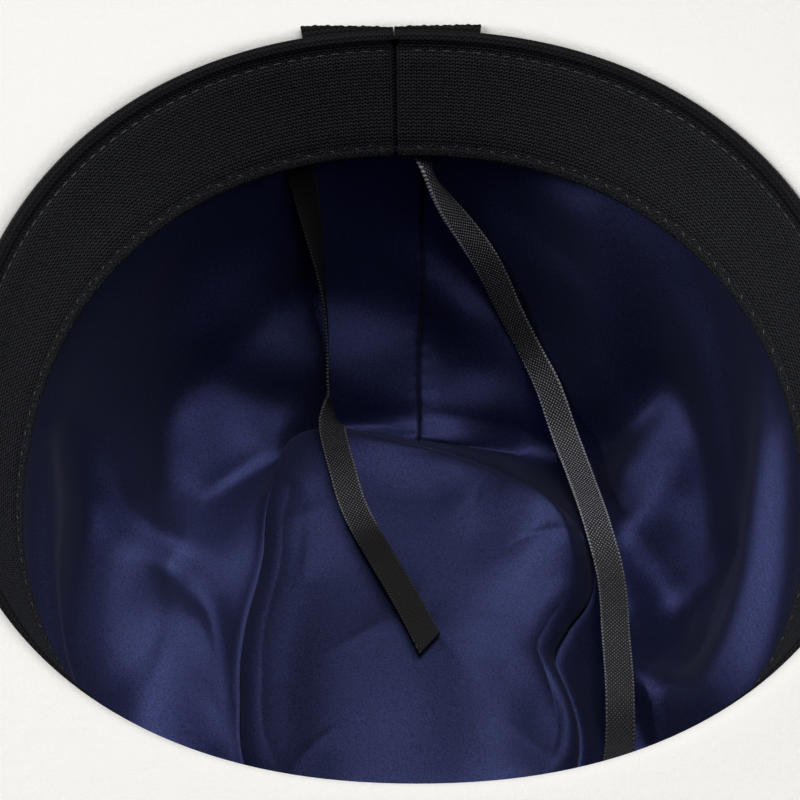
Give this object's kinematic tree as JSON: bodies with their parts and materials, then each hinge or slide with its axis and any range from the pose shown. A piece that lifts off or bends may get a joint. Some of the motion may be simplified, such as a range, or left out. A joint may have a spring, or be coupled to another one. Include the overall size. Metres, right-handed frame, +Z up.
{
  "type": "fedora",
  "caption": "Felt fedora with a teardrop crown and a wide brim, lying upside down on its crown; sweatband, satin lining and loose ribbons inside.",
  "frame": {"origin": "middle of the bounding box on the surface that the crown rests on", "axes": "+Z up out of the head opening, +Y towards the back of the hat along its longest extent, +X towards the side that is on the right seen from the front brim with the opening up"},
  "size_m": [0.31, 0.3407, 0.121],
  "materials": {
    "cream_felt": "brushed wool felt with a short nap, cream white",
    "black_twill": "matt black ribbed twill tape with stitched edges",
    "navy_satin": "dark navy satin, soft sheen",
    "navy_satin_tip": "dark navy satin on the cross grain, a little greyer",
    "black_ribbon": "black satin ribbon with woven edges"
  },
  "bodies": {
    "root": {"felt_body": "cream_felt", "sweatband": "black_twill", "sweatband_tab_left": "black_twill", "sweatband_tab_right": "black_twill", "lining_side_band": "navy_satin", "lining_tip": "navy_satin_tip", "ribbon_left": "black_ribbon", "ribbon_right": "black_ribbon"}
  },
  "joints": []
}
